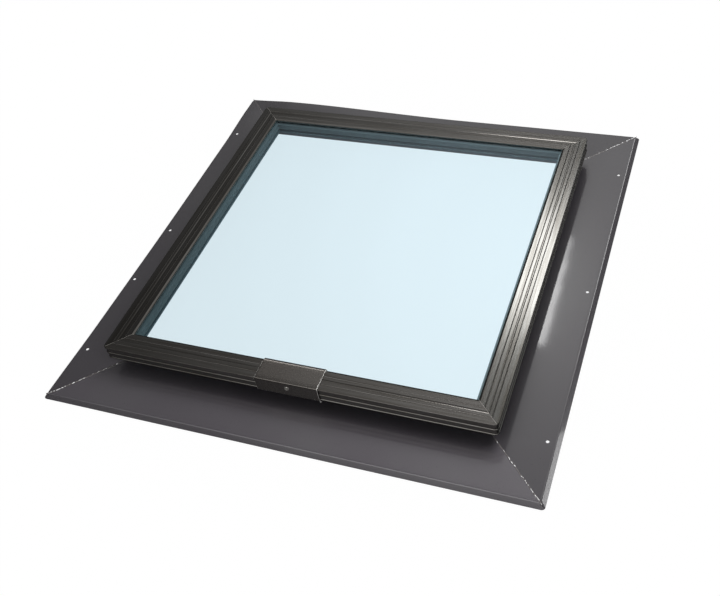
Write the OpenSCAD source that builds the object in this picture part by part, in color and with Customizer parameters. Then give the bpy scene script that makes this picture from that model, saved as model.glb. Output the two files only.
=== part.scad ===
// Fixed roof skylight with its own flashing: four welded flashing sheets carry a
// mitred aluminium frame, a sealed double pane and a mitred cap held by a front clip.
// Sections are drawn in (u, z): u runs outward from the rough opening, z is height.
// The front, or down-slope, side faces -Y.

/* [Roof opening] */
// Rough opening across the slope, which is the inside of the curb
opening_w = 571.5; // [400:0.5:1200]
// Rough opening up the slope
opening_l = 571.5; // [400:0.5:1200]

/* [Flashing] */
// From the rough opening to the outer edge of the flange
flange_w = 101.6; // [75:0.1:150]
// Thickness of the flashing sheet
sheet_t = 1.2; // [0.8:0.1:1.6]
// Clear height under the flat of the flange
edge_drop = 5.4; // [3:0.1:12]
// Outside radius of the fold along the outer edge
edge_r = 3; // [2:0.1:4]
// Inside radius of the bend at the foot of the curb
foot_r = 2; // [1:0.1:4]
// Height of the curb's top edge
curb_top = 25; // [22:0.5:25]
// Rounding of the flange's four corners, in plan
flange_corner_r = 5; // [1:0.5:15]
// Diameter of a nail hole
nail_d = 5; // [3:0.1:8]
// Distance from a nail hole to the outer edge
nail_edge = 18; // [14:0.5:35]
// Spacing of the nail holes along a side
nail_pitch = 280.5; // [150:0.5:285]
// How far the row of nail holes sits below the middle
nail_shift = 7.2; // [0:0.1:12]
// Place of the one extra nail hole, below the middle of the left side
spare_nail_at = 130.5; // [60:0.5:180]
// Distance from the extra nail hole to the outer edge
spare_nail_edge = 15; // [12:0.5:35]
// Gap between two mitred sheets or rails
mitre_gap = 0.3; // [0.1:0.05:0.5]
// Radius of the weld bead on each mitre
weld_r = 2.2; // [1.6:0.1:3]

/* [Frame] */
// How far the ledge reaches in past the rough opening
ledge_in = 17.25; // [17:0.25:30]
// Thickness of the frame's plate
plate_t = 2.5; // [2:0.1:4]
// Height of the underside of the plate
plate_z = 26.3; // [26.3:0.1:30]
// How far the plate reaches out past the rough opening
plate_out = 19.85; // [18:0.05:20]
// Thickness of the frame's webs and legs
web_t = 1.8; // [1.4:0.1:2.4]
// Depth of the slot that takes the curb's top edge
slot_depth = 12.3; // [8:0.1:14]
// Clearance each side of the sheet in the slot
slot_gap = 0.1; // [0.05:0.05:0.3]

/* [Glass] */
// Thickness of each pane
pane_t = 4; // [3:0.5:6]
// Space between the two panes
air_gap = 10; // [6:0.5:12]
// From the rough opening in to the edge of the glass
glass_in = 5.25; // [4:0.25:8]
// Width of the spacer bar
spacer_w = 7; // [5:0.5:9]
// Width of the seal between the spacer and the edge of the glass
edge_seal_w = 5; // [3:0.5:8]
// Thickness of the tape under the glass
tape_t = 1.5; // [1:0.1:3]
// Thickness of the gasket over the glass
gasket_t = 1.5; // [1:0.1:3]
// How far the gasket shows past the cap's nose
gasket_lip = 0.55; // [0.2:0.05:1]
// Length of a setting block
block_len = 100; // [40:5:120]

/* [Cap] */
// How far the cap reaches out past the rough opening
cap_out = 23.45; // [23:0.05:28]
// How far the cap's nose reaches in past the rough opening
nose_in = 12.85; // [11:0.05:16]
// Thickness of the cap at its bevel, the thickest place
cap_t = 2.5; // [2:0.1:4]
// Fall of the cap's top from the bevel to the outer edge
cap_fall = 0.3; // [0:0.1:0.9]
// Width of the bevel along the nose
bevel_w = 3; // [1:0.1:4]
// Thickness of the cap's skirt
skirt_t = 1.8; // [1.4:0.1:2.4]
// Rounding of the cap's outer corners, in plan
cap_corner_r = 7; // [5:0.5:8]
// Height of the middle of the lower bead on the skirt
low_bead_z = 28.9; // [28.9:0.1:33]
// Height of the middle of the upper bead on the skirt
high_bead_z = 39.5; // [36:0.1:42]
// Radius of the two beads, which is also how far the skirt is set back
bead_r = 1.3; // [0.8:0.1:1.6]
// Radius of the two narrow grooves along the cap's top
groove_r = 0.9; // [0.4:0.1:1]
// Place of the inner groove, outward from the rough opening
inner_groove_u = -1.45; // [-4:0.05:1]
// Place of the outer groove
outer_groove_u = 12.45; // [10:0.05:16]
// Radius of the shallow valley between the grooves
valley_r = 6; // [3:0.5:12]
// Depth of the valley
valley_depth = 0.35; // [0.1:0.05:0.6]

/* [Clip] */
// Width of the clip on the front rail
clip_w = 98.5; // [40:0.5:140]
// How far the clip sits left of the middle
clip_shift = 0.75; // [0:0.05:10]
// Thickness of the clip's sheet
clip_t = 1.2; // [0.8:0.1:1.5]
// Outside radius of the clip's bends
clip_r = 2; // [1.6:0.1:3]
// Diameter of the rivet's head
rivet_head_d = 7.8; // [5:0.1:9]
// Height of the rivet above the floor
rivet_z = 43; // [43:0.1:46]

/* [Screws and keys] */
// Diameter of the screws and the rivet's shank
screw_d = 4; // [3:0.1:4.2]
// Clearance round a screw, on the radius
screw_gap = 0.1; // [0.05:0.05:0.3]
// Diameter of a screw's head
head_d = 7.8; // [6:0.1:8]
// Height of a screw's head
head_h = 2.4; // [1.5:0.1:3]
// Place of the cap's screws, outward from the rough opening
cap_screw_u = 14.25; // [14.25:0.05:15]
// Distance from the corner to the first curb screw
curb_screw_in = 90; // [70:5:150]
// Length of a corner key's arm
key_arm = 45; // [25:1:60]

/* [Hidden] */
$fn = 96;
root_half = sqrt(0.5);
flat_z = edge_drop + sheet_t;
fold_tuck = 0.02;
plate_top = plate_z + plate_t;
inner_pane_z = plate_top + tape_t;
cavity_z = inner_pane_z + pane_t;
outer_pane_z = cavity_z + air_gap;
glass_top = outer_pane_z + pane_t;
cap_under = glass_top + gasket_t;
cap_top = cap_under + cap_t;
web_top = cap_under - 3.3;
web_out = -slot_gap - 0.15;
web_in = web_out - web_t;
skirt_out = cap_out - bead_r;
skirt_in = skirt_out - skirt_t;
arris_r = 0.8;
nose_r = 0.55;
screw_hole_r = screw_d / 2 + screw_gap;
slot_z = plate_z - slot_depth;
curb_screw_z = slot_z + slot_depth / 2;
inner_leg_u = -slot_gap - web_t;
outer_leg_u = sheet_t + slot_gap;
way_half = screw_d / 2 + screw_gap;
way_t = 1.4;
way_z = cap_under - 11.8;
cap_leg_u = 0.3;
cap_leg_t = 1.6;
key_gap = 0.2;
key_h = 6;
clip_plate_z = cap_top + 0.1;
clip_front_u = cap_out + 0.15;
clip_back_u = -nose_in - gasket_lip - 0.65;
clip_hook_z = low_bead_z - bead_r - 0.3 - clip_t;

// One side of the rectangle: length of the opening along it, turn, and middle
FRONT = [opening_w, 180, [0, -opening_l / 2, 0]];
BACK = [opening_w, 0, [0, opening_l / 2, 0]];
LEFT = [opening_l, 90, [-opening_w / 2, 0, 0]];
RIGHT = [opening_l, -90, [opening_w / 2, 0, 0]];
SIDES = [FRONT, BACK, LEFT, RIGHT];

// ---- Placing ----

// Stands its children on one side: x along the side, y outward from the opening
module on_side(side) {
    translate(side[2]) rotate([0, 0, side[1]]) children();
}

// Puts its children in one corner, where sx and sy are -1 or 1
module in_corner(sx, sy) {
    translate([sx * opening_w / 2, sy * opening_l / 2, 0])
        mirror([sx < 0 ? 1 : 0, 0, 0]) mirror([0, sy < 0 ? 1 : 0, 0]) children();
}

// Runs a section along a side
module run_along(length) {
    rotate([90, 0, 90]) linear_extrude(height = length, center = true) children();
}

// The room one side may take up, with both ends cut at 45 degrees
module mitre_room(side) {
    reach_in = -ledge_in - 5;
    reach_out = flange_w + 5;
    cut = mitre_gap / 2 / root_half;
    half_in = side[0] / 2 + reach_in - cut;
    half_out = side[0] / 2 + reach_out - cut;
    translate([0, 0, -5]) linear_extrude(height = 100)
        polygon([[-half_in, reach_in], [half_in, reach_in],
            [half_out, reach_out], [-half_out, reach_out]]);
}

// Runs a section along a side and cuts both ends at 45 degrees
module mitred(side) {
    on_side(side) intersection() {
        run_along(side[0] + 2 * flange_w + 10) children();
        mitre_room(side);
    }
}

// A closed frame between two distances from the rough opening
module ring(u_in, u_out, z, h) {
    difference() {
        plate_to(u_out, z, h);
        plate_to(u_in, z - 1, h + 2);
    }
}

// A plate that reaches to one distance from the rough opening on every side
module plate_to(u, z, h) {
    translate([-opening_w / 2 - u, -opening_l / 2 - u, z])
        cube([opening_w + 2 * u, opening_l + 2 * u, h]);
}

// ---- Flashing ----

// Everything under a surface that folds down 45 degrees at the outer edge
module fold_region(r, u_start, deep) {
    fold_z = flat_z - edge_r;
    fold_u = flange_w - 2 * (edge_r - fold_tuck) * root_half - fold_z;
    reach = (r - fold_tuck) * root_half;
    translate([u_start, -deep]) square([fold_u - u_start, fold_z + r + deep]);
    translate([fold_u, fold_z]) circle(r);
    polygon([[fold_u, -deep], [fold_u + 2 * reach + fold_z + deep, -deep],
        [fold_u + reach, fold_z + reach], [fold_u, fold_z]]);
}

// The folded sheet: curb wall, foot bend, flat flange and turned-down edge
module flashing_section() {
    bend = foot_r + sheet_t;
    translate([0, edge_drop + bend]) square([sheet_t, curb_top - edge_drop - bend]);
    translate([bend, edge_drop + bend]) intersection() {
        difference() {
            circle(bend);
            circle(foot_r);
        }
        translate([-bend, -bend]) square(bend);
    }
    difference() {
        fold_region(edge_r, bend, 0);
        fold_region(edge_r - sheet_t, bend - 1, 1);
    }
}

// A rectangle that reaches out by u from the opening, with rounded corners
module outline(u, r) {
    hx = opening_w / 2 + u;
    hy = opening_l / 2 + u;
    translate([-hx + r, -hy]) square([2 * hx - 2 * r, 2 * hy]);
    translate([-hx, -hy + r]) square([2 * hx, 2 * hy - 2 * r]);
    for (x = [-hx + r, hx - r], y = [-hy + r, hy - r]) translate([x, y]) circle(r);
}

// The places of the curb screws along a side
function curb_screw_places(side) = [
    for (k = [-1:1]) k * (side[0] / 2 - curb_screw_in)
];

// Bores across the curb wall and the legs that hold it
module curb_screw_holes(side) {
    on_side(side) for (x = curb_screw_places(side))
        translate([x, -5, curb_screw_z]) rotate([-90, 0, 0]) cylinder(r = screw_hole_r, h = 12);
}

// One flashing sheet, without its nail holes
module flashing_sheet(side) {
    difference() {
        intersection() {
            mitred(side) flashing_section();
            translate([0, 0, -1]) linear_extrude(height = 60) outline(flange_w, flange_corner_r);
        }
        curb_screw_holes(side);
    }
}

// A nail hole in one flank, sx -1 for the left, at a distance y up the slope
module nail_hole(sx, y, edge) {
    translate([sx * (opening_w / 2 + flange_w - edge), y, 0]) cylinder(d = nail_d, h = 20);
}

// The row of three nail holes in one flank
module nail_row(sx) {
    for (k = [-1:1]) nail_hole(sx, k * nail_pitch - nail_shift, nail_edge);
}

module flashing_front() color([0.29, 0.28, 0.30]) flashing_sheet(FRONT);
module flashing_back() color([0.30, 0.29, 0.31]) flashing_sheet(BACK);
module flashing_left() color([0.26, 0.26, 0.27]) difference() {
    flashing_sheet(LEFT);
    nail_row(-1);
    nail_hole(-1, -spare_nail_at, spare_nail_edge);
}
module flashing_right() color([0.36, 0.35, 0.37]) difference() {
    flashing_sheet(RIGHT);
    nail_row(1);
}

// The bead that closes one mitre: up the curb's corner, down into the foot and out
// along the flange
module weld(sx, sy) {
    bend = sheet_t + foot_r;
    bend_z = edge_drop + bend;
    first = bend + 1.5;
    last = flange_w - 12;
    bead_z = flat_z - 0.6;
    link_r = 1.25;
    link_in = sheet_t + 1;
    link_run = (first + 0.2 - link_in) / root_half;
    link_fall = bend_z + 0.4 - flat_z;
    color([0.62, 0.61, 0.60]) in_corner(sx, sy) difference() {
        union() {
            translate([first, first, bead_z]) rotate([0, 90, 45])
                cylinder(r = weld_r, h = (last - first) / root_half);
            translate([link_in, link_in, bend_z + 0.8])
                rotate([0, 90 + atan(link_fall / link_run), 45])
                    cylinder(r = link_r, h = norm([link_run, link_fall]));
            translate([sheet_t, sheet_t, bend_z])
                cylinder(r = 1.6, h = slot_z - 0.5 - bend_z);
        }
        translate([-10, -10, -10]) cube([flange_w + 20, flange_w + 20, 10 + flat_z]);
        translate([-10, -10, 0]) cube([10 + sheet_t, 10 + sheet_t, 40]);
    }
}

module weld_front_left() weld(-1, -1);
module weld_front_right() weld(1, -1);
module weld_back_left() weld(-1, 1);
module weld_back_right() weld(1, 1);

// ---- Frame ----

// The frame rail: ledge and plate, glazing web, outer web and curb slot
module frame_section() {
    tip_r = plate_t / 2;
    translate([-ledge_in + tip_r, plate_z + tip_r]) circle(tip_r);
    translate([-ledge_in + tip_r, plate_z]) square([ledge_in - tip_r + plate_out, plate_t]);
    translate([web_in, plate_z]) square([web_t, web_top - plate_z]);
    translate([plate_out - web_t, plate_z]) square([web_t, plate_t + 7.2]);
    translate([inner_leg_u, slot_z]) square([web_t, slot_depth + 1]);
    translate([outer_leg_u, slot_z]) square([web_t, slot_depth + 1]);
}

// The places of the cap screws along a side
function cap_screw_places(side) = [for (k = [-1:1]) k * side[0] / 3];

module frame_rail(side) {
    color([0.20, 0.19, 0.18]) difference() {
        intersection() {
            mitred(side) frame_section();
            linear_extrude(height = 60)
                outline(plate_out, cap_corner_r - cap_out + plate_out);
        }
        curb_screw_holes(side);
        on_side(side) for (x = cap_screw_places(side))
            translate([x, cap_screw_u, plate_z - 1]) cylinder(r = screw_hole_r, h = plate_t + 2);
    }
}

module frame_front() frame_rail(FRONT);
module frame_back() frame_rail(BACK);
module frame_left() frame_rail(LEFT);
module frame_right() frame_rail(RIGHT);

// An L that joins two mitred rails, between two distances from the opening
module corner_key(sx, sy, u_in, u_out, z) {
    color([0.66, 0.67, 0.68]) in_corner(sx, sy) translate([0, 0, z])
        linear_extrude(height = key_h) polygon([[u_out, u_out], [u_out - key_arm, u_out],
            [u_out - key_arm, u_in], [u_in, u_in], [u_in, u_out - key_arm],
            [u_out, u_out - key_arm]]);
}

module frame_key(sx, sy)
    corner_key(sx, sy, web_out + key_gap, web_out + key_gap + 8, plate_top);

module frame_key_front_left() frame_key(-1, -1);
module frame_key_front_right() frame_key(1, -1);
module frame_key_back_left() frame_key(-1, 1);
module frame_key_back_right() frame_key(1, 1);

module curb_sealant() color([0.12, 0.12, 0.12])
    ring(-slot_gap, sheet_t + slot_gap, curb_top, plate_z - curb_top);

// A pan-head screw that points up, with its head's seat at zero
module screw(length) {
    point = screw_d / 2;
    translate([0, 0, -head_h]) cylinder(d1 = head_d * 0.8, d2 = head_d, h = head_h * 0.4);
    translate([0, 0, -head_h * 0.6]) cylinder(d = head_d, h = head_h * 0.6);
    cylinder(d = screw_d, h = length - point);
    translate([0, 0, length - point]) cylinder(d1 = screw_d, d2 = screw_d * 0.3, h = point);
}

module curb_screws() color([0.62, 0.62, 0.62])
    for (side = SIDES) on_side(side) for (x = curb_screw_places(side))
        translate([x, inner_leg_u, curb_screw_z]) rotate([-90, 0, 0])
            screw(outer_leg_u + web_t - inner_leg_u + 3);

// ---- Glass ----

module glazing_tape() color([0.10, 0.10, 0.10])
    ring(-ledge_in + 1.25, -glass_in - 1, plate_top, tape_t);
module inner_pane() color([0.80, 0.91, 0.94, 0.5]) plate_to(-glass_in, inner_pane_z, pane_t);
module outer_pane() color([0.80, 0.91, 0.94, 0.5]) plate_to(-glass_in, outer_pane_z, pane_t);
module spacer_bar() color([0.30, 0.36, 0.38])
    ring(-glass_in - edge_seal_w - spacer_w, -glass_in - edge_seal_w, cavity_z, air_gap);
module edge_seal() color([0.08, 0.08, 0.08])
    ring(-glass_in - edge_seal_w, -glass_in, cavity_z, air_gap);
module glazing_gasket() color([0.06, 0.06, 0.06])
    ring(-nose_in - gasket_lip, web_in - 0.75, glass_top, gasket_t);

// A rubber block between the edge of the glass and the glazing web
module glass_block(side, place) {
    color([0.09, 0.09, 0.09]) on_side(side)
        translate([place * side[0] / 4 - block_len / 2, -glass_in, plate_top])
            cube([block_len, glass_in + web_in, web_top - plate_top - 0.5]);
}

module setting_block_left() glass_block(FRONT, 1);
module setting_block_right() glass_block(FRONT, -1);
module edge_block_back_left() glass_block(BACK, -1);
module edge_block_back_right() glass_block(BACK, 1);
module edge_block_left_front() glass_block(LEFT, -1);
module edge_block_left_back() glass_block(LEFT, 1);
module edge_block_right_front() glass_block(RIGHT, 1);
module edge_block_right_back() glass_block(RIGHT, -1);

// ---- Cap ----

// The height of the cap's sloping top
function cap_surface(u) =
    cap_top - cap_fall * (u + nose_in - bevel_w) / (cap_out - arris_r + nose_in - bevel_w);

// The cap rail: bevelled nose, grooved top, skirt with two beads, legs underneath
module cap_section() {
    arris_z = cap_top - cap_fall - arris_r;
    difference() {
        union() {
            translate([-nose_in + nose_r, cap_under + nose_r]) circle(nose_r);
            polygon([[-nose_in + nose_r, cap_under], [cap_out, cap_under],
                [cap_out, arris_z], [cap_out - arris_r, cap_top - cap_fall],
                [-nose_in + bevel_w, cap_top],
                [-nose_in + nose_r * 0.2, cap_under + nose_r * 1.6]]);
            translate([cap_out - arris_r, arris_z]) circle(arris_r);
        }
        translate([inner_groove_u, cap_surface(inner_groove_u)]) circle(groove_r);
        translate([outer_groove_u, cap_surface(outer_groove_u)]) circle(groove_r);
        translate([(inner_groove_u + outer_groove_u) / 2 + 0.25,
            cap_surface(0) + valley_r - valley_depth]) circle(valley_r);
    }
    translate([skirt_in, low_bead_z]) square([skirt_t, cap_under + 0.5 - low_bead_z]);
    translate([skirt_out, low_bead_z]) circle(bead_r);
    translate([skirt_out, high_bead_z]) circle(bead_r);
    for (u = [cap_screw_u - way_half - way_t, cap_screw_u + way_half])
        translate([u, way_z]) square([way_t, cap_under + 0.5 - way_z]);
    translate([cap_leg_u, way_z + 2]) square([cap_leg_t, cap_under + 0.5 - way_z - 2]);
}

// The cap rail, whose section turns round the outer corners
module cap_rail(side) {
    turn_u = cap_out - cap_corner_r;
    color([0.27, 0.25, 0.23]) on_side(side) intersection() {
        union() {
            run_along(side[0] + 2 * turn_u) cap_section();
            for (k = [-1, 1]) translate([k * (side[0] / 2 + turn_u), turn_u, 0])
                rotate([0, 0, k < 0 ? 90 : 0]) rotate_extrude(angle = 90)
                    translate([-turn_u, 0]) intersection() {
                        cap_section();
                        translate([turn_u, 0]) square([cap_corner_r + 1, 80]);
                    }
        }
        mitre_room(side);
    }
}

module cap_front() color([0.27, 0.25, 0.23]) difference() {
    cap_rail(FRONT);
    on_side(FRONT) rivet_hole();
}
module cap_back() cap_rail(BACK);
module cap_left() cap_rail(LEFT);
module cap_right() cap_rail(RIGHT);

module cap_key(sx, sy)
    corner_key(sx, sy, cap_leg_u + cap_leg_t + key_gap,
        cap_screw_u - way_half - way_t - key_gap, cap_under - key_h);

module cap_key_front_left() cap_key(-1, -1);
module cap_key_front_right() cap_key(1, -1);
module cap_key_back_left() cap_key(-1, 1);
module cap_key_back_right() cap_key(1, 1);

module cap_screws() color([0.62, 0.62, 0.62])
    for (side = SIDES) on_side(side) for (x = cap_screw_places(side))
        translate([x, cap_screw_u, plate_z]) screw(cap_under - 3 - plate_z);

// ---- Clip ----

// One bend of the clip, in the quarter that a and b point to
module clip_bend(u, z, a, b) {
    translate([u, z]) intersection() {
        difference() {
            circle(clip_r);
            circle(clip_r - clip_t);
        }
        translate([a < 0 ? -clip_r : 0, b < 0 ? -clip_r : 0]) square(clip_r);
    }
}

// The folded clip: short back leg, top, front leg and a hook under the skirt
module clip_section() {
    back_u = clip_back_u - clip_t;
    front_u = clip_front_u + clip_t;
    top_z = clip_plate_z + clip_t;
    translate([back_u, glass_top + 0.5]) square([clip_t, top_z - clip_r - glass_top - 0.5]);
    clip_bend(back_u + clip_r, top_z - clip_r, -1, 1);
    translate([back_u + clip_r, clip_plate_z])
        square([front_u - back_u - 2 * clip_r, clip_t]);
    clip_bend(front_u - clip_r, top_z - clip_r, 1, 1);
    translate([clip_front_u, clip_hook_z + clip_r])
        square([clip_t, top_z - 2 * clip_r - clip_hook_z]);
    clip_bend(front_u - clip_r, clip_hook_z + clip_r, 1, -1);
    translate([plate_out + 0.6, clip_hook_z])
        square([front_u - clip_r - plate_out - 0.6, clip_t]);
}

// The bore for the rivet, through the clip's front leg and the cap's skirt
module rivet_hole() {
    translate([0, skirt_in - 2, rivet_z]) rotate([-90, 0, 0])
        cylinder(r = screw_hole_r, h = clip_front_u - skirt_in + 6);
}

module retainer_clip() color([0.30, 0.28, 0.26]) on_side(FRONT) difference() {
    translate([clip_shift, 0, 0]) run_along(clip_w) clip_section();
    rivet_hole();
}

// The blind rivet: domed head outside, set bulb behind the skirt
module clip_rivet() color([0.45, 0.43, 0.41]) on_side(FRONT)
    translate([0, 0, rivet_z]) rotate([-90, 0, 0]) {
        head_seat = clip_front_u + clip_t;
        dome_h = 1.8;
        dome_r = (rivet_head_d * rivet_head_d / 4 + dome_h * dome_h) / (2 * dome_h);
        intersection() {
            translate([0, 0, head_seat + dome_h - dome_r]) sphere(dome_r);
            translate([0, 0, head_seat]) cylinder(d = rivet_head_d + 1, h = dome_h + 1);
        }
        translate([0, 0, skirt_in - 1.8]) cylinder(d = screw_d, h = head_seat - skirt_in + 2);
        translate([0, 0, skirt_in - 1.8]) cylinder(d = 5.8, h = 1.8);
    }

// ---- The model ----

flashing_front();
flashing_back();
flashing_left();
flashing_right();
weld_front_left();
weld_front_right();
weld_back_left();
weld_back_right();
frame_front();
frame_back();
frame_left();
frame_right();
frame_key_front_left();
frame_key_front_right();
frame_key_back_left();
frame_key_back_right();
curb_sealant();
curb_screws();
glazing_tape();
inner_pane();
outer_pane();
spacer_bar();
edge_seal();
setting_block_left();
setting_block_right();
edge_block_back_left();
edge_block_back_right();
edge_block_left_front();
edge_block_left_back();
edge_block_right_front();
edge_block_right_back();
glazing_gasket();
cap_front();
cap_back();
cap_left();
cap_right();
cap_key_front_left();
cap_key_front_right();
cap_key_back_left();
cap_key_back_right();
cap_screws();
retainer_clip();
clip_rivet();
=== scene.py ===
# %% [markdown]
# # A roof skylight, finished in Blender
#
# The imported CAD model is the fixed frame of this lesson. It is a square skylight: folded and
# welded flashing sheets at the bottom, a curb, a double pane and a mitred metal cap with one
# folded clip. Nothing in the frame is moved here. Each step gives a piece its finish, or puts
# a more detailed piece in the place of a plain one.

# %% Load the frame
import math
import random
import bmesh
import bpy
from mathutils import Matrix, Vector, noise


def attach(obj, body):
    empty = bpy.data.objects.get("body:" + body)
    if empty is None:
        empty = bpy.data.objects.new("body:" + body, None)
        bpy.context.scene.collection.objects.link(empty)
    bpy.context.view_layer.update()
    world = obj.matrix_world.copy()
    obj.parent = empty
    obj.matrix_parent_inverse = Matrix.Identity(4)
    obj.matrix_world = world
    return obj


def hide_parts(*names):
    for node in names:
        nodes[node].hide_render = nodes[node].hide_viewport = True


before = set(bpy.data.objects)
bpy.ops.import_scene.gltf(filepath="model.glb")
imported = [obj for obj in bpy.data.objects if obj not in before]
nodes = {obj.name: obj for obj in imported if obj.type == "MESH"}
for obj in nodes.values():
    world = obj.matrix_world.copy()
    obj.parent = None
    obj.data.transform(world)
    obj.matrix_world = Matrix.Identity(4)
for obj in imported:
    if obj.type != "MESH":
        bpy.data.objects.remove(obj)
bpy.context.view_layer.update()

# %% [markdown]
# ## The camera
#
# The skylight lies on its back and is seen from the front right, from above, with a small
# lean of the camera. A heading, a tilt and a roll are easier to think about than Euler angles,
# so one helper turns the first into the second. The Standard view transform keeps the pale
# floor white and the dark metal dark.

# %% The camera
def aim(heading, tilt, roll):
    """A camera's turn: heading left of +Y, tilt down, then roll about the line of sight."""
    level = Vector((math.cos(heading), math.sin(heading), 0))
    ahead = Vector((-math.sin(heading) * math.cos(tilt), math.cos(heading) * math.cos(tilt),
                    -math.sin(tilt)))
    above = level.cross(ahead)
    right = level * math.cos(roll) + above * math.sin(roll)
    up = right.cross(ahead)
    return Matrix((right, up, -ahead)).transposed().to_euler()


camera_data = bpy.data.cameras.new("studio_camera")
camera_data.sensor_width = 36
camera_data.lens = 46.79
camera_data.shift_x = -0.0419
camera_data.shift_y = -0.0142
camera = bpy.data.objects.new("studio_camera", camera_data)
camera.location = (0.5372, -0.9916, 1.0734)
camera.rotation_euler = aim(math.radians(26.841), math.radians(45.638), math.radians(-10.955))
bpy.context.scene.collection.objects.link(camera)
bpy.context.scene.camera = camera
bpy.context.scene.view_settings.view_transform = "Standard"
print("camera at", tuple(round(v, 3) for v in camera.location))

# %% [markdown]
# ## Small helpers
#
# Every material below is a short tree of nodes. Four helpers keep those trees readable: one
# makes an empty material, one makes a node with its values, one makes a link, and one fills a
# colour ramp from a short list of stops.

# %% Helpers for shader nodes
def new_material(name):
    """An empty node material with its output, ready for a shader."""
    material = bpy.data.materials.new(name)
    material.use_nodes = True
    tree = material.node_tree
    tree.nodes.clear()
    tree.nodes.new("ShaderNodeOutputMaterial").name = "out"
    return material, tree


def add_node(tree, kind, **values):
    """A node with its settings and sockets filled in by name."""
    item = tree.nodes.new("ShaderNode" + kind)
    for name, value in values.items():
        if hasattr(item, name):
            setattr(item, name, value)
        else:
            item.inputs[name.replace("_", " ")].default_value = value
    return item


def join(tree, a, b):
    """Links one socket to another."""
    tree.links.new(a, b)


def fill_ramp(node, stops):
    """Sets a colour ramp's stops from (place, grey or colour) pairs."""
    elements = node.color_ramp.elements
    while len(elements) < len(stops):
        elements.new(0.5)
    for stop, (place, value) in zip(elements, stops):
        stop.position = place
        colour = tuple(value) if hasattr(value, "__len__") else (value, value, value)
        stop.color = colour + (1,)


print("helpers ready")

# %% [markdown]
# ## The studio
#
# Dark metal shows what surrounds it more than its own colour. So the light is planned as
# reflections. A glow behind the skylight fades to dark at the left, which gives the flat tops
# their slow change of tone. Three more glows, higher or further round than the flats can see,
# are picked up only by rounded edges, so each fold and bead gets a thin bright line. Below the
# horizon the reflected world is darker, so the upright skirts stay dark. A Light Path node
# gives mirrors this room, soft shading a plain fill, and the view itself plain white.

# %% The world
def direction_of(heading, height):
    """The unit direction at a heading left of +Y and a height above the horizon, in degrees."""
    h, e = math.radians(heading), math.radians(height)
    return Vector((-math.sin(h) * math.cos(e), math.cos(h) * math.cos(e), math.sin(e)))


GLOW_RANGE = 4.0          # the brightest level that a glow's ramp can hold
HORIZON = (-0.06, 0.04)   # the heights between which the room fades in
BELOW_HORIZON = 0.35      # how much of the glow is left under the horizon
FILL_LEVEL = 0.20
world = bpy.data.worlds.new("studio")
bpy.context.scene.world = world
world.use_nodes = True
wt = world.node_tree
wt.nodes.clear()
w_out = wt.nodes.new("ShaderNodeOutputWorld")
direction = add_node(wt, "TexCoord")


def glow(centre, stops):
    """Brightness round one direction, from (degrees away, level) pairs."""
    facing = add_node(wt, "VectorMath", operation="DOT_PRODUCT")
    facing.inputs[1].default_value = centre
    join(wt, direction.outputs["Generated"], facing.inputs[0])
    angle = add_node(wt, "Math", operation="ARCCOSINE")
    join(wt, facing.outputs["Value"], angle.inputs[0])
    spread = add_node(wt, "MapRange")
    spread.inputs["From Max"].default_value = math.pi
    join(wt, angle.outputs[0], spread.inputs["Value"])
    ramp = add_node(wt, "ValToRGB")
    ramp.color_ramp.interpolation = "EASE"
    fill_ramp(ramp, [(degrees / 180, level / GLOW_RANGE) for degrees, level in stops])
    join(wt, spread.outputs[0], ramp.inputs[0])
    return ramp.outputs[0]


back_glow = glow(direction_of(13.5, 46),
                 [(0, 1.50), (8.5, 1.14), (12, 0.86), (16, 0.57), (20, 0.36),
                  (25, 0.21), (40, 0.14), (60, 0.14), (180, 0.14)])
front_glow = glow(direction_of(165, 58), [(0, 3.2), (16, 2.8), (26, 1.0), (34, 0.0), (180, 0.0)])
corner_glow = glow(direction_of(-125, 42), [(0, 2.6), (14, 2.2), (22, 0.4), (28, 0.0), (180, 0.0)])
right_glow = glow(direction_of(-30, 50), [(0, 1.6), (9, 1.4), (15, 0.4), (20, 0.0), (180, 0.0)])
total = back_glow
for part in (front_glow, corner_glow, right_glow):
    both = add_node(wt, "Mix", data_type="RGBA", blend_type="ADD")
    both.inputs["Factor"].default_value = 1.0
    join(wt, total, both.inputs["A"])
    join(wt, part, both.inputs["B"])
    total = both.outputs["Result"]
split = add_node(wt, "SeparateXYZ")
join(wt, direction.outputs["Generated"], split.inputs[0])
horizon = add_node(wt, "MapRange")
horizon.inputs["From Min"].default_value, horizon.inputs["From Max"].default_value = HORIZON
horizon.inputs["To Min"].default_value = BELOW_HORIZON
join(wt, split.outputs["Z"], horizon.inputs["Value"])
strength = add_node(wt, "Math", operation="MULTIPLY")
strength.inputs[1].default_value = GLOW_RANGE
join(wt, horizon.outputs[0], strength.inputs[0])
path = add_node(wt, "LightPath")
seen_in_gloss = add_node(wt, "Background")
join(wt, total, seen_in_gloss.inputs["Color"])
join(wt, strength.outputs[0], seen_in_gloss.inputs["Strength"])
seen_by_camera = add_node(wt, "Background", Color=(1, 1, 1, 1), Strength=1.0)
soft_fill = add_node(wt, "Background", Color=(1, 0.99, 1, 1), Strength=FILL_LEVEL)
pick_fill = add_node(wt, "MixShader")
join(wt, path.outputs["Is Diffuse Ray"], pick_fill.inputs[0])
join(wt, seen_by_camera.outputs[0], pick_fill.inputs[1])
join(wt, soft_fill.outputs[0], pick_fill.inputs[2])
pick = add_node(wt, "MixShader")
join(wt, path.outputs["Is Glossy Ray"], pick.inputs[0])
join(wt, pick_fill.outputs[0], pick.inputs[1])
join(wt, seen_in_gloss.outputs[0], pick.inputs[2])
join(wt, pick.outputs[0], w_out.inputs[0])
print("world has", len(wt.nodes), "nodes")

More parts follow.
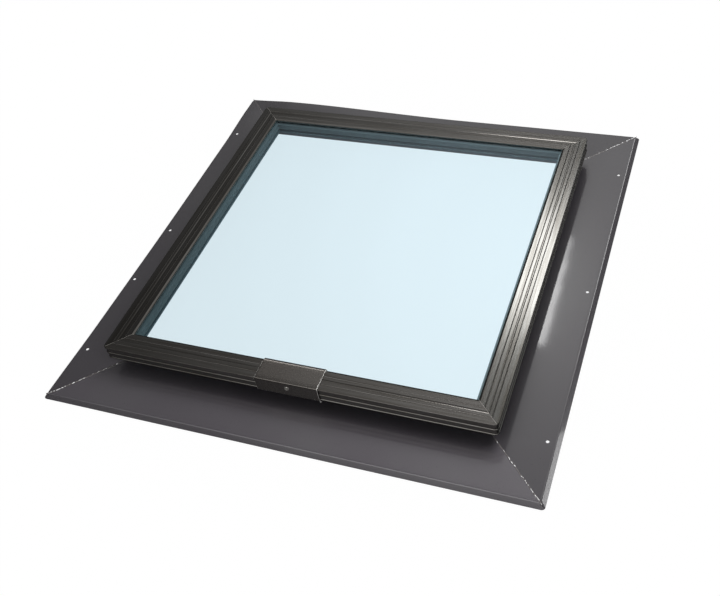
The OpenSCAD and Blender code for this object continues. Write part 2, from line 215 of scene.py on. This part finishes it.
# %% [markdown]
# ## Floor and lights
#
# The floor is nearly self-lit, so it stays white under the object, and mirrors don't see it.
# One flat strip overhead makes the long bright streak on the right-hand rail. Four more, each
# a little narrower than the last, make the streak on the sheet beside it, which tapers away
# from the viewer. The soft key comes in three parts with their own powers, because the
# sheets face the room alike and would otherwise all have one tone. A last cell names the
# pieces that each lamp reaches.

# %% The floor and the lights
def soft_light(name, size, place, target, power, glossy=True):
    """A rectangular studio light that faces a point."""
    data = bpy.data.lights.new(name, "AREA")
    data.shape = "RECTANGLE"
    data.size, data.size_y = size
    data.energy = power
    lamp = bpy.data.objects.new(name, data)
    lamp.location = place
    lamp.rotation_euler = (Vector(target) - Vector(place)).to_track_quat("-Z", "Y").to_euler()
    lamp.visible_glossy = glossy
    lamp.visible_camera = False
    bpy.context.scene.collection.objects.link(lamp)
    return lamp


STRIP_HEIGHT = 1.278


def strip_light(name, x, y, radiance):
    """A flat strip over the object that faces straight down, given by its radiance."""
    size = (x[1] - x[0], y[1] - y[0])
    centre = ((x[0] + x[1]) / 2, (y[0] + y[1]) / 2, STRIP_HEIGHT)
    power = radiance * size[0] * size[1] * math.pi
    lamp = soft_light(name, size, centre, (centre[0], centre[1], 0), power)
    lamp.rotation_euler = (0, 0, 0)
    return lamp


def light_only(lamp, pieces):
    """Lets a lamp reach only these objects."""
    group = bpy.data.collections.new(lamp.name + "_reaches")
    for piece in pieces:
        group.objects.link(piece)
    lamp.light_linking.receiver_collection = group


KEY_SIZE, EDGE_STRIP_X = (1.2, 0.8), -0.02
back_key = soft_light("back_and_left_key", KEY_SIZE, (0.5, -0.9, 1.1), (0, 0, 0), 11, glossy=False)
over_key = soft_light("overhead_key", KEY_SIZE, (0.5, 0.3, 1.2), (0, 0, 0), 28, glossy=False)
right_key = soft_light("right_sheet_key", KEY_SIZE, (-0.1, -0.9, 1.1), (0, 0, 0), 8, glossy=False)
fold_lamp = soft_light("right_fold_light", (1.6, 1.6), (1.85, 2.9, 2.1), (0.37, 0, 0), 42)
cap_lamp = strip_light("cap_strip", (-0.20, 0.16), (0.91, 1.44), 11.5)
# near end, far end, outer edge and radiance of each strip over the right-hand sheet
STREAK = [(0.91, 1.05, 0.066, 16.0), (1.05, 1.18, 0.062, 16.0),
          (1.18, 1.30, 0.057, 14.0), (1.30, 1.42, 0.051, 10.0)]
streak_lamps = [strip_light("flange_strip_" + str(k), (EDGE_STRIP_X, edge), (near, far), level)
                for k, (near, far, edge, level) in enumerate(STREAK)]
side_lamp = soft_light("right_edge_light", (0.6, 0.5), (2.73, 0.97, 0.32), (0.37, -0.3, 0), 6.0)
clip_lamp = soft_light("clip_edge_light", (1.2, 0.9), (2.4, 1.65, 0.9), (0, -0.3, 0), 9.0)
rear_lamp = soft_light("clip_rear_light", (1.0, 0.8), (-1.14, 2.0, 1.36), (0, -0.3, 0), 20.0)

FLOOR_REACH, FLOOR_GAP, FLOOR_GREY, FLOOR_GLOW = 9, 0.0004, 0.12, 0.96
floor_mesh = bpy.data.meshes.new("studio_floor")
floor_mesh.from_pydata([(x * FLOOR_REACH, y * FLOOR_REACH, 0) for x, y in ((-1, -1), (1, -1), (1, 1), (-1, 1))],
                       [], [(0, 1, 2, 3)])
floor = bpy.data.objects.new("studio_floor", floor_mesh)
floor.location.z = -FLOOR_GAP
floor.visible_glossy = False
bpy.context.scene.collection.objects.link(floor)
floor_material, ft = new_material("floor_white")
floor_shader = add_node(ft, "BsdfPrincipled", Roughness=0.9)
floor_shader.inputs["Base Color"].default_value = (FLOOR_GREY, FLOOR_GREY, FLOOR_GREY, 1)
floor_shader.inputs["Specular IOR Level"].default_value = 0.0
floor_shader.inputs["Emission Color"].default_value = (1, 1, 1, 1)
floor_shader.inputs["Emission Strength"].default_value = FLOOR_GLOW
join(ft, floor_shader.outputs[0], ft.nodes["out"].inputs[0])
floor_mesh.materials.append(floor_material)
print("floor and", len(bpy.data.lights), "lights placed")

# %% [markdown]
# ## Finishes
#
# Two recipes cover most of the metal. **Coated sheet** is paint on folded steel: a slow
# drift of tone, a fine orange-peel and a slight waviness that bends its reflections.
# ** Brushed bronze** is anodised aluminium: noise stretched along the rail stands for the
# drawing marks, so rails that run along X and along Y each need their own direction. Each
# rail also gets its own tone, which is painted shade.

# %% Recipes for metal
COAT_ROUGHNESS = 0.06


def surface_shader(tree, metallic):
    """The main shader, joined to the output."""
    shader = add_node(tree, "BsdfPrincipled", Metallic=metallic, IOR=1.5)
    join(tree, shader.outputs[0], tree.nodes["out"].inputs[0])
    return shader


def grain_noise(tree, scale, detail=3.0, roughness=0.6):
    """Noise in the object's own space, stretched by three scales in metres."""
    place_node = add_node(tree, "TexCoord")
    stretch = add_node(tree, "Mapping")
    stretch.inputs["Scale"].default_value = scale
    join(tree, place_node.outputs["Object"], stretch.inputs["Vector"])
    texture = add_node(tree, "TexNoise", Scale=1.0, Detail=detail, Roughness=roughness)
    join(tree, stretch.outputs[0], texture.inputs["Vector"])
    return texture.outputs["Fac"]


def tone_from(tree, value, dark, light, low=0.3, high=0.7):
    """A colour that goes from dark to light as the value rises."""
    tone = add_node(tree, "ValToRGB")
    fill_ramp(tone, [(low, dark), (high, light)])
    join(tree, value, tone.inputs[0])
    return tone.outputs[0]


def span(tree, value, low, high):
    """The value, stretched from 0.3..0.7 to low..high."""
    change = add_node(tree, "MapRange")
    for socket, number in (("From Min", 0.3), ("From Max", 0.7), ("To Min", low), ("To Max", high)):
        change.inputs[socket].default_value = number
    join(tree, value, change.inputs["Value"])
    return change.outputs[0]


def bumped(tree, heights):
    """A normal bent by one or more (value, depth in metres) layers."""
    normal = None
    for value, depth in heights:
        dent = add_node(tree, "Bump", Strength=1.0, Distance=depth)
        join(tree, value, dent.inputs["Height"])
        if normal:
            join(tree, normal, dent.inputs["Normal"])
        normal = dent.outputs[0]
    return normal


def coated_metal(name, dark, light, roughness, peel=0.00002, wave=0.0, metallic=0.0, coat=0.0):
    """Coated sheet: drifting tone, fine peel, slow waves, and a clear gloss over it if asked for."""
    material, tree = new_material(name)
    shader = surface_shader(tree, metallic)
    shader.inputs["Coat Weight"].default_value = coat
    shader.inputs["Coat Roughness"].default_value = COAT_ROUGHNESS
    drift = grain_noise(tree, (5, 5, 5), 4.0, 0.5)
    fine = grain_noise(tree, (600, 600, 600), 2.0)
    join(tree, tone_from(tree, drift, dark, light), shader.inputs["Base Color"])
    join(tree, span(tree, fine, roughness * 0.85, roughness * 1.2), shader.inputs["Roughness"])
    layers = [(fine, peel)]
    if wave:
        layers.append((grain_noise(tree, (14, 14, 14), 2.0, 0.4), wave))
    join(tree, bumped(tree, layers), shader.inputs["Normal"])
    return material


BRUSH_DEPTH = 0.000004


def brushed_metal(name, dark, light, roughness, along):
    """Drawn or brushed metal: fine lines that run along one axis, 0 for X, 1 for Y, 2 for Z."""
    material, tree = new_material(name)
    shader = surface_shader(tree, 1.0)
    lines = [620, 620, 620]
    lines[along] = 14
    bands = [190, 190, 190]
    bands[along] = 5
    fine = grain_noise(tree, tuple(lines), 3.0, 0.65)
    broad = grain_noise(tree, tuple(bands), 3.0, 0.6)
    mixed = add_node(tree, "Math", operation="MULTIPLY_ADD")
    join(tree, fine, mixed.inputs[0])
    mixed.inputs[1].default_value = 0.5
    half = add_node(tree, "Math", operation="MULTIPLY")
    half.inputs[1].default_value = 0.5
    join(tree, broad, half.inputs[0])
    join(tree, half.outputs[0], mixed.inputs[2])
    both_grains = mixed.outputs[0]
    join(tree, tone_from(tree, both_grains, dark, light, 0.38, 0.62), shader.inputs["Base Color"])
    join(tree, span(tree, both_grains, roughness * 1.25, roughness * 0.8), shader.inputs["Roughness"])
    join(tree, bumped(tree, [(both_grains, BRUSH_DEPTH)]), shader.inputs["Normal"])
    return material


def finish(material, *names):
    """Puts a material in every slot of the named nodes."""
    for name in names:
        for slot in nodes[name].material_slots:
            slot.material = material


flashing_paint = coated_metal("flashing_paint", (0.053, 0.047, 0.055), (0.063, 0.059, 0.065), 0.32,
                              wave=0.00004, coat=0.55)
# the axis of the brushing, the tone and the warmth of each rail; the tone is painted shade, darkest on the left
# rail
RAIL_GRAIN_AND_PAINTED_SHADE = {"front": (0, 1.02, 0.97), "back": (0, 0.86, 0.98),
         "left": (1, 0.62, 0.98), "right": (1, 0.86, 1.0)}
rail_bronze_shaded = {}
for rail, (along, tone, warmth) in RAIL_GRAIN_AND_PAINTED_SHADE.items():
    dark = (0.082 * tone, 0.078 * tone * warmth, 0.070 * tone * warmth)
    light = (0.128 * tone, 0.127 * tone * warmth, 0.121 * tone * warmth)
    rail_bronze_shaded[rail] = brushed_metal("cap_bronze_shaded_" + rail, dark, light, 0.20, along)
clip_bronze = coated_metal("clip_bronze", (0.092, 0.084, 0.077), (0.108, 0.101, 0.094), 0.28,
                           0.000006, metallic=1.0)
# bare metal of the cut ends; the same colour is a painted highlight on the hook's bottom bend and end blob
clip_edge = coated_metal("clip_edge", (0.50, 0.49, 0.47), (0.72, 0.71, 0.69), 0.42, metallic=0.3)
weld_dull = coated_metal("weld_dull", (0.045, 0.038, 0.036), (0.16, 0.15, 0.15), 0.35, 0.0002)
# near-white drops on the welds: bare metal lightened into a painted highlight
weld_spatter_glint = coated_metal("weld_spatter_glint", (0.66, 0.66, 0.66), (0.95, 0.95, 0.95), 0.35, 0.0001, metallic=0.35)
rivet_metal = coated_metal("rivet_metal", (0.24, 0.23, 0.215), (0.34, 0.33, 0.31), 0.33, metallic=0.5)
# pale colour of the mitre ribbons: a painted highlight for the glint of the mitre edges
mitre_glint_paint = coated_metal("mitre_glint_paint", (0.20, 0.19, 0.175), (0.30, 0.29, 0.27), 0.35, metallic=0.6)
key_metal = brushed_metal("key_metal", (0.45, 0.45, 0.46), (0.62, 0.62, 0.63), 0.32, 2)
screw_steel = coated_metal("screw_steel", (0.42, 0.42, 0.42), (0.60, 0.60, 0.60), 0.25, metallic=1.0)
frame_bronze = coated_metal("frame_bronze", (0.062, 0.086, 0.092), (0.078, 0.106, 0.114), 0.30, metallic=0.2)
spacer_metal = coated_metal("spacer_metal", (0.056, 0.082, 0.088), (0.072, 0.104, 0.112), 0.38, metallic=0.2)
edge_sealant = coated_metal("edge_sealant", (0.040, 0.058, 0.062), (0.052, 0.074, 0.080), 0.55, 0.00008)
curb_sealant = coated_metal("curb_sealant", (0.012, 0.012, 0.013), (0.022, 0.022, 0.023), 0.60, 0.0003)
gasket_rubber = coated_metal("gasket_rubber", (0.030, 0.044, 0.046), (0.042, 0.060, 0.062), 0.48, 0.00006)
block_rubber = coated_metal("block_rubber", (0.016, 0.016, 0.017), (0.026, 0.026, 0.027), 0.65, 0.0001)

caps = [n for n in nodes if n.startswith("cap_") and "key" not in n and "screws" not in n]
for rail, material in rail_bronze_shaded.items():
    finish(material, "cap_" + rail)
finish(frame_bronze, *[n for n in nodes if n.startswith("frame_") and "key" not in n])
finish(key_metal, *[n for n in nodes if "_key_" in n])
finish(screw_steel, "cap_screws", "curb_screws")
finish(spacer_metal, "spacer_bar")
finish(edge_sealant, "edge_seal")
finish(curb_sealant, "curb_sealant")
finish(gasket_rubber, "glazing_tape", "glazing_gasket")
finish(block_rubber, *[n for n in nodes if "_block_" in n])
print(len(bpy.data.materials), "materials made")

# %% [markdown]
# ## Glass
#
# A pane here is thin and seen almost straight on, so refraction adds nothing but noise. Each
# face lets light through with a faint blue-green tint, and mirrors more of the room the
# flatter it is seen. The mirror part is switched off inside the glass, where the Fresnel
# node would otherwise turn black.

# %% Glass
glass, gt = new_material("pale_glass")
tint = add_node(gt, "BsdfTransparent", Color=(0.930, 0.968, 0.983, 1))
shine = add_node(gt, "BsdfGlossy", Color=(0.75, 0.9, 1.0, 1), Roughness=0.0)
facing = add_node(gt, "Fresnel", IOR=1.5)
geometry = add_node(gt, "NewGeometry")
outside = add_node(gt, "Math", operation="SUBTRACT")
outside.inputs[0].default_value = 1.0
join(gt, geometry.outputs["Backfacing"], outside.inputs[1])
share = add_node(gt, "Math", operation="MULTIPLY")
join(gt, facing.outputs[0], share.inputs[0])
join(gt, outside.outputs[0], share.inputs[1])
mix = add_node(gt, "MixShader")
join(gt, share.outputs[0], mix.inputs[0])
join(gt, tint.outputs[0], mix.inputs[1])
join(gt, shine.outputs[0], mix.inputs[2])
join(gt, mix.outputs[0], gt.nodes["out"].inputs[0])
finish(glass, "outer_pane", "inner_pane")
print("glass set on two panes")

# %% [markdown]
# ## Building pieces
#
# The CAD sheets are perfectly flat, and a real hand-folded sheet never is. The next pieces are
# swept: a closed section is placed again and again along a side, and neighbouring copies are
# joined by faces. All sizes below are millimetres, and a side is drawn with x along it and u
# outward from the opening, as a sheet-metal worker would draw it.

# %% Helpers for pieces
MM = 0.001
HALF = 285.75
SIDES = {"front": (180, 0, -1), "back": (0, 0, 1), "left": (90, -1, 0), "right": (-90, 1, 0)}


def arc(cu, cz, r, start, end, steps=8):
    """Points on an arc in the section, angles in degrees."""
    angles = [math.radians(start + (end - start) * k / steps) for k in range(steps + 1)]
    return [(cu + r * math.cos(a), cz + r * math.sin(a)) for a in angles]


def to_world(side, x, u, z):
    """A point of a side's own drawing, in metres in the shared frame."""
    turn, sx, sy = SIDES[side]
    a = math.radians(turn)
    px = x * math.cos(a) - u * math.sin(a) + sx * HALF
    py = x * math.sin(a) + u * math.cos(a) + sy * HALF
    return Vector((px * MM, py * MM, z * MM))


def sweep(rings):
    """A closed mesh through rings of equal length."""
    bm = bmesh.new()
    rows = [[bm.verts.new(p) for p in ring] for ring in rings]
    count = len(rows[0])
    for a, b in zip(rows, rows[1:]):
        for k in range(count):
            bm.faces.new((a[k], a[(k + 1) % count], b[(k + 1) % count], b[k]))
    bm.faces.new(rows[0][::-1])
    bm.faces.new(rows[-1])
    bmesh.ops.recalc_face_normals(bm, faces=bm.faces)
    return bm


def to_piece(name, bm, materials, replaced, crease=38):
    """Turns a bmesh into a finished piece that stands for CAD nodes."""
    mesh = bpy.data.meshes.new(name)
    bm.to_mesh(mesh)
    bm.free()
    for material in materials:
        mesh.materials.append(material)
    mesh.polygons.foreach_set("use_smooth", [True] * len(mesh.polygons))
    mesh.set_sharp_from_angle(angle=math.radians(crease))
    piece = bpy.data.objects.new(name, mesh)
    bpy.context.scene.collection.objects.link(piece)
    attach(piece, "root")
    if replaced:
        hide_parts(*replaced)
    print(name, "has", len(mesh.polygons), "faces")
    return piece


def ease(value, low, high):
    """0 below low, 1 above high, and a smooth step between."""
    t = min(1.0, max(0.0, (value - low) / (high - low)))
    return t * t * (3 - 2 * t)


# %% [markdown]
# ## The flashing sheets
#
# Each sheet is folded up into the curb, runs out flat, and is turned down 45 degrees at its
# edge so that the edge stands on the roof. Handling has bent the flange a little: its back
# left corner has sprung up by a few millimetres, and the left edge isn't quite straight. A
# single bending function moves every point outside the curb, so neighbouring sheets still meet.

# %% The flashing sheets
SHEET_T, DROP, FLAT = 1.2, 5.4, 6.6
FLANGE, FOLD_U, FOLD_Z, EDGE_R = 101.6, 93.79, 3.6, 3.0
CURB_TOP, FOOT_U, FOOT_Z, FOOT_R = 25.0, 3.2, 8.6, 2.0
MITRE_CUT = 0.212
CORNER_R = 5.0
CORNER_LIFT, SHEET_WAVE = 7.0, 0.35
EDGE_OUT, EDGE_IN = 2.6, 1.8


def bent(p):
    """A flange point after handling: lifted or pulled a little near the outer edge."""
    x, y, z = (v / MM for v in p)
    out = max(abs(x), abs(y)) - HALF
    if out < 12:
        return p
    near_edge = ease(out, 12, 100)
    back_left = ease(-x, -60, 270) * ease(y, 250, 350) * (1 - 0.5 * ease(-x, 290, 387))
    lift = CORNER_LIFT * back_left * near_edge
    rim = ease(out, 84, 101)
    if x < -HALF:
        x += rim * (EDGE_IN * math.exp(-((y - 10) / 190) ** 2) - EDGE_OUT * ease(-y, 230, 385))
    lift += SHEET_WAVE * near_edge * (1 + noise.noise(Vector((x / 160, y / 160, 0.3))))
    return Vector((x, y, z + lift)) * MM


def sheet_section():
    """The folded sheet as a closed loop of (u, z) points, upper face first."""
    flats = [6 + 6 * k for k in range(1, 14)]
    strip = FOLD_Z + EDGE_R * math.sqrt(0.5)
    upper = [(SHEET_T, CURB_TOP), (SHEET_T, 17.0)] + arc(FOOT_U, FOOT_Z, FOOT_R, 180, 270)
    upper += [(u, FLAT) for u in flats] + [(90.0, FLAT)] + arc(FOLD_U, FOLD_Z, EDGE_R, 90, 45)
    tip_u = FOLD_U + EDGE_R * math.sqrt(0.5) + strip
    hem = [(tip_u, 0.0), (tip_u - SHEET_T * math.sqrt(2), 0.0)]
    lower = arc(FOLD_U, FOLD_Z, EDGE_R - SHEET_T, 45, 90) + [(90.0, DROP)]
    lower += [(u, DROP) for u in flats[::-1]] + arc(FOOT_U, FOOT_Z, FOOT_R + SHEET_T, 270, 180)
    lower += [(0.0, 17.0), (0.0, CURB_TOP)]
    return upper + hem + lower


def sheet_ring(side, s, section):
    """One copy of the section, s from -1 at one mitre to 1 at the other."""
    ring = []
    for u, z in section:
        x = s * (HALF + u - MITRE_CUT)
        over = abs(x) - (HALF + FLANGE - CORNER_R)
        if over > 0:
            limit = FLANGE - CORNER_R + math.sqrt(max(0.0, CORNER_R ** 2 - over ** 2))
            if u > limit:
                u = limit
                x = math.copysign(min(abs(x), HALF + u - MITRE_CUT + 1.0), x)
        ring.append(bent(to_world(side, x, u, z)))
    return ring


NAIL_HOLE_R = 2.5
NAIL_ROW = [k * 280.5 - 7.2 for k in (-1, 0, 1)]


def nail_cutter(places):
    """Short pegs that cut the nail holes."""
    bm = bmesh.new()
    for x, y in places:
        bmesh.ops.create_cone(bm, cap_ends=True, segments=32, depth=0.05,
                              radius1=NAIL_HOLE_R * MM, radius2=NAIL_HOLE_R * MM,
                              matrix=Matrix.Translation((x * MM, y * MM, 0.0)))
    mesh = bpy.data.meshes.new("nail_cutter")
    bm.to_mesh(mesh)
    bm.free()
    return bpy.data.objects.new("nail_cutter", mesh)


def cut(bm, cutter):
    """The bmesh with the cutter taken out of it."""
    mesh = bpy.data.meshes.new("blank")
    bm.to_mesh(mesh)
    bm.free()
    blank = bpy.data.objects.new("blank", mesh)
    for item in (blank, cutter):
        bpy.context.scene.collection.objects.link(item)
    holes = blank.modifiers.new("holes", "BOOLEAN")
    holes.operation = "DIFFERENCE"
    holes.solver = "EXACT"
    holes.object = cutter
    solved = blank.evaluated_get(bpy.context.evaluated_depsgraph_get())
    result = bmesh.new()
    result.from_mesh(solved.to_mesh())
    for item in (blank, cutter):
        bpy.data.objects.remove(item)
    return result


section = sheet_section()
# copies of the section, closest together near the mitres
steps = [math.sin(math.pi / 2 * math.sin(math.pi / 2 * k / 60)) for k in range(-60, 61)]
NAILS = {"left": [(-369.35, y) for y in NAIL_ROW] + [(-372.35, -130.5)],
         "right": [(369.35, y) for y in NAIL_ROW]}
sheets = []
for side in SIDES:
    bm = sweep([sheet_ring(side, s, section) for s in steps])
    if side in NAILS:
        bm = cut(bm, nail_cutter(NAILS[side]))
    sheets.append(to_piece("folded_sheet_" + side, bm, [flashing_paint],
                           ["flashing_" + side]))

# %% [markdown]
# ## The welds
#
# Each mitre of the flange is closed by a hand-laid bead. It is drawn as a low broken ridge with
# near-white drops here and there: bare metal whose colour is lifted into a painted highlight.
# A list says how many bright drops each corner gets: the front left the most, the back left nearly none.

# %% The welds
# the corner's signs in x and y, the share of drops in the painted-highlight colour, and the size
WELDS = {("front", "left"): (-1, -1, 0.85, 1.7), ("front", "right"): (1, -1, 0.42, 1.1),
         ("back", "left"): (-1, 1, 0.06, 0.8), ("back", "right"): (1, 1, 0.50, 1.0)}
RIDGE_START, RIDGE_RUN, RIDGE_RINGS, RIDGE_SIDES = 5, 92, 140, 10
SHINE_START, SHINE_END = 17.0, 97


def weld_point(sx, sy, along, across, z):
    """A point on a corner's diagonal, bent with the sheets."""
    d = math.sqrt(0.5)
    x, y = along + across * d, along - across * d
    return bent(Vector((sx * (HALF + x), sy * (HALF + y), z)) * MM)


def add_ridge(bm, sx, sy, size):
    """The low dull ridge of the bead, as a half-buried irregular tube."""
    rows = []
    for k in range(RIDGE_RINGS):
        along = RIDGE_START + RIDGE_RUN * k / (RIDGE_RINGS - 1)
        swell = 0.75 + 0.5 * noise.noise(Vector((along * 0.9, sx * 3.1, sy * 7.7)))
        wander = 0.5 * noise.noise(Vector((along * 0.35, sx * 9.2, sy * 2.4)))
        width, height = 1.0 * size * swell, 0.55 * size * swell
        ring = []
        for a in (2 * math.pi * j / RIDGE_SIDES for j in range(RIDGE_SIDES)):
            across, z = wander + width * math.cos(a), FLAT - 0.1 + height * math.sin(a)
            ring.append(weld_point(sx, sy, along, across, z))
        rows.append([bm.verts.new(p) for p in ring])
    for a, b in zip(rows, rows[1:]):
        for j in range(RIDGE_SIDES):
            bm.faces.new((a[j], a[(j + 1) % RIDGE_SIDES], b[(j + 1) % RIDGE_SIDES], b[j]))
    bm.faces.new(rows[0])
    bm.faces.new(rows[-1])


def add_drop(bm, centre, axis, length, width, height, slot):
    """One smooth drop of metal, longer along the bead."""
    made = bmesh.ops.create_icosphere(bm, subdivisions=2, radius=1.0)["verts"]
    along = Vector((axis.x, axis.y, 0)).normalized()
    across = Vector((-along.y, along.x, 0))
    for v in made:
        p = v.co.copy()
        v.co = (centre + along * p.x * length * MM + across * p.y * width * MM
                + Vector((0, 0, p.z * height * MM)))
    for face in {f for v in made for f in v.link_faces}:
        face.material_index = slot


def weld_piece(corner):
    """The whole bead of one corner: the post up the curb, the ridge and the bright drops."""
    sx, sy, shine_share, size = WELDS[corner]
    draw = random.Random(corner[0] + corner[1])
    bm = bmesh.new()
    add_ridge(bm, sx, sy, size)
    axis = Vector((sx, sy, 0))
    for k in range(9):
        foot = weld_point(sx, sy, 2.4, 0, 9.0 + k * 0.55)
        add_drop(bm, foot, axis, 1.3, 1.3 + 0.2 * draw.random(), 0.9, 0)
    for k in range(4):
        add_drop(bm, weld_point(sx, sy, 3.0 + 0.7 * k, 0, 8.6 - 0.5 * k), axis, 1.2, 1.1, 0.9, 0)
    along = SHINE_START
    while along < SHINE_END:
        length = draw.uniform(0.8, 2.6)
        # a bright drop: bare metal in a painted-highlight colour
        if draw.random() < shine_share * (0.55 + 0.9 * ease(along, 40, 80)):
            off = draw.uniform(-0.5, 0.5)
            add_drop(bm, weld_point(sx, sy, along, off, FLAT + 0.25), axis, length,
                     draw.uniform(0.35, 0.62) * size, draw.uniform(0.35, 0.6), 1)
        along += length * draw.uniform(0.7, 1.5)
    bmesh.ops.recalc_face_normals(bm, faces=bm.faces)
    place = corner[0] + "_" + corner[1]
    return to_piece("weld_bead_" + place, bm, [weld_dull, weld_spatter_glint], ["weld_" + place], 60)


welds = [weld_piece(corner) for corner in WELDS]

# %% [markdown]
# ## The clip and its rivet
#
# One strip of sheet is bent over the front rail and hooked under its skirt. In Blender it gets
# what makes sheet metal look like sheet metal: true bend radii, and a fine bevel along the two
# cut ends, which catches the light. A blind rivet holds it, with a domed head and the broken
# stem sunk in the middle.

# %% The clip and its rivet
CLIP_T, BEND_R = 1.2, 2.0
CLIP_BACK, CLIP_FRONT, CLIP_TOP, HOOK_Z, SKIRT_Z = -15.25, 24.8, 53.6, 26.1, 48.8
CLIP_HALF, CLIP_X = 49.25, 0.75
CLIP_SAG, END_BEVEL = 0.05, 0.32
RIVET_Z = 43.0


def clip_section():
    """The clip's strip as a closed loop: outer face first, then back along the inner face."""
    r, t = BEND_R, BEND_R - CLIP_T
    outer = [(CLIP_BACK, SKIRT_Z), (CLIP_BACK, 50.1), (-15.0, 50.8), (-14.4, 51.35)]
    outer += [(-11.6, 52.85), (-11.0, 53.15), (-10.3, 53.42), (-9.6, 53.57)]
    outer += [(u, CLIP_TOP) for u in (-8, -2, 4, 10, 16)] + arc(CLIP_FRONT - r, CLIP_TOP - r, r, 90, 0)
    outer += [(CLIP_FRONT, z) for z in (46, 40, 34)] + arc(CLIP_FRONT - r, HOOK_Z + r, r, 0, -90)
    outer += [(20.45, HOOK_Z), (20.45, HOOK_Z + CLIP_T)]
    inner = arc(CLIP_FRONT - r, HOOK_Z + r, t, -90, 0) + [(CLIP_FRONT - CLIP_T, z) for z in (34, 40, 46)]
    inner += arc(CLIP_FRONT - r, CLIP_TOP - r, t, 0, 90)
    inner += [(u, CLIP_TOP - CLIP_T) for u in (16, 10, 4, -2, -8)]
    inner += [(-9.7, 52.38), (-10.6, 52.12), (-13.7, 50.45), (-14.0, 50.0), (CLIP_BACK + CLIP_T, SKIRT_Z)]
    return outer + inner


def clip_piece():
    """The swept strip, with bevelled ends."""
    loop = clip_section()
    stations = [CLIP_X + CLIP_HALF * k / 16 for k in range(-16, 17)]
    rings = []
    for x in stations:
        sag = CLIP_SAG * noise.noise(Vector((x / 18, 0.5, 0.2)))
        rings.append([to_world("front", x, u + (sag if u > 22 else 0), z + (sag if z > 50 else 0))
                      for u, z in loop])
    bm = sweep(rings)
    ends = [e for e in bm.edges if any(len(f.verts) > 4 for f in e.link_faces)]
    bmesh.ops.bevel(bm, geom=ends, offset=END_BEVEL * MM, segments=3, profile=0.5, affect="EDGES")
    bare_cut_and_glint = 0
    for face in bm.faces:
        middle = face.calc_center_median() / MM
        # the front side's drawing is turned half round, so its x has the other sign here
        at_end = abs(abs(middle.x + CLIP_X) - CLIP_HALF) < 0.4
        out = -middle.y - HALF
        # the cut ends get the bright colour as bare metal; the lowest strip of the hook's outer bend gets it as
        # a painted highlight along the bottom edge
        on_edge = out > 23 and 26.5 < middle.z < 27.2
        if at_end or on_edge:
            face.material_index = 1
            bare_cut_and_glint += 1
    hook_glint_bead(bm)
    print("worn bright faces:", bare_cut_and_glint)
    return to_piece("folded_clip", bm, [clip_bronze, clip_edge], ["retainer_clip"])


def hook_glint_bead(bm):
    """A small blob at the right end of the hook, in the bright edge colour: a painted highlight for the glint
    at that corner.
    """
    made = bmesh.ops.create_icosphere(bm, subdivisions=2, radius=1.25 * MM)["verts"]
    bmesh.ops.translate(bm, verts=made, vec=Vector((49.2, -HALF - 24.0, 25.4)) * MM)
    for face in {f for v in made for f in v.link_faces}:
        face.material_index = 1


def rivet_piece():
    """A turned blind rivet: dome, sunk stem, shank and set bulb."""
    profile = [(0.0, 1.15), (0.95, 1.2), (1.15, 1.75), (1.45, 2.0), (2.2, 1.85), (3.0, 1.4), (3.6, 0.75),
               (3.9, 0.2), (3.9, 0.0), (2.0, 0.0), (2.0, -6.2), (2.9, -6.2), (2.9, -8.0), (0.0, -8.0)]
    bm = bmesh.new()
    rows = []
    for k in range(48):
        a = 2 * math.pi * k / 48
        rows.append([bm.verts.new(to_world("front", r * math.cos(a), CLIP_FRONT + h, RIVET_Z + r * math.sin(a)))
                     for r, h in profile])
    for a, b in zip(rows, rows[1:] + rows[:1]):
        for j in range(len(profile) - 1):
            bm.faces.new((a[j], a[j + 1], b[j + 1], b[j]))
    bmesh.ops.remove_doubles(bm, verts=bm.verts, dist=1e-6)
    bmesh.ops.recalc_face_normals(bm, faces=bm.faces)
    return to_piece("blind_rivet", bm, [rivet_metal], ["clip_rivet"])


clip, rivet = clip_piece(), rivet_piece()

# %% [markdown]
# ## The seams of the cap
#
# The cap's four rails meet at 45 degrees. A pale ribbon along the top of each joint is a
# painted highlight for the glint of the mitre edges. It follows the rail's own profile, is about
# half a millimetre wide and mostly sunk in the joint, so it reads as a fine pale line.

# %% The seams of the cap
SEAM_RIBBON = ((-0.3, -0.3), (0.3, -0.3), (0.3, 0.06), (0.0, 0.12), (-0.3, 0.06))


def seam_piece(sx, sy):
    """A thin ribbon over one mitre of the cap."""
    profile = [(-12.6, 50.85), (-9.9, 52.28), (-2.4, 52.2), (-1.45, 51.3), (-0.5, 52.15), (3.0, 51.95),
               (6.0, 51.8), (9.0, 51.98), (11.5, 52.08), (12.45, 51.15), (13.4, 52.05), (20.4, 51.98)]
    d = math.sqrt(0.5)
    rings = []
    for u, z in profile:
        ring = []
        for across, up in SEAM_RIBBON:
            ring.append(Vector((sx * (HALF + u + across * d), sy * (HALF + u - across * d), z + up)) * MM)
        rings.append(ring)
    corner = ("front" if sy < 0 else "back") + "_" + ("left" if sx < 0 else "right")
    return to_piece("cap_seam_" + corner, sweep(rings), [mitre_glint_paint], [], 60)


seams = [seam_piece(sx, sy) for sx in (-1, 1) for sy in (-1, 1)]

# %% [markdown]
# ## Which light reaches what
#
# Every lamp gets its list of pieces now that they all exist. The cap strip reaches the right,
# back and front rails, the clip and the rivet, but not the left rail, which lies in the dark
# part of the studio. The four narrow strips, the fold light and one key reach only the
# right-hand sheet. The side light reaches that sheet and the front one. One key is for the
# back and left sheets, and one for the front sheet and everything else. Two small lights are
# for the clip alone. This is stagecraft: the tone of a sheet here comes partly from its own
# lamp, so a scene with other lights shows the four sheets more alike.

# %% Which light reaches what
light_only(cap_lamp, [nodes[n] for n in caps if n != "cap_left"] + [clip, rivet])
by_side = dict(zip(SIDES, sheets))
for lamp in streak_lamps + [fold_lamp, right_key]:
    light_only(lamp, [by_side["right"]])
light_only(side_lamp, [by_side["right"], by_side["front"]])
light_only(back_key, [by_side["back"], by_side["left"]])
light_only(over_key, [by_side["front"], clip, rivet] + welds + seams + list(nodes.values()))
for lamp in (clip_lamp, rear_lamp):
    light_only(lamp, [clip])
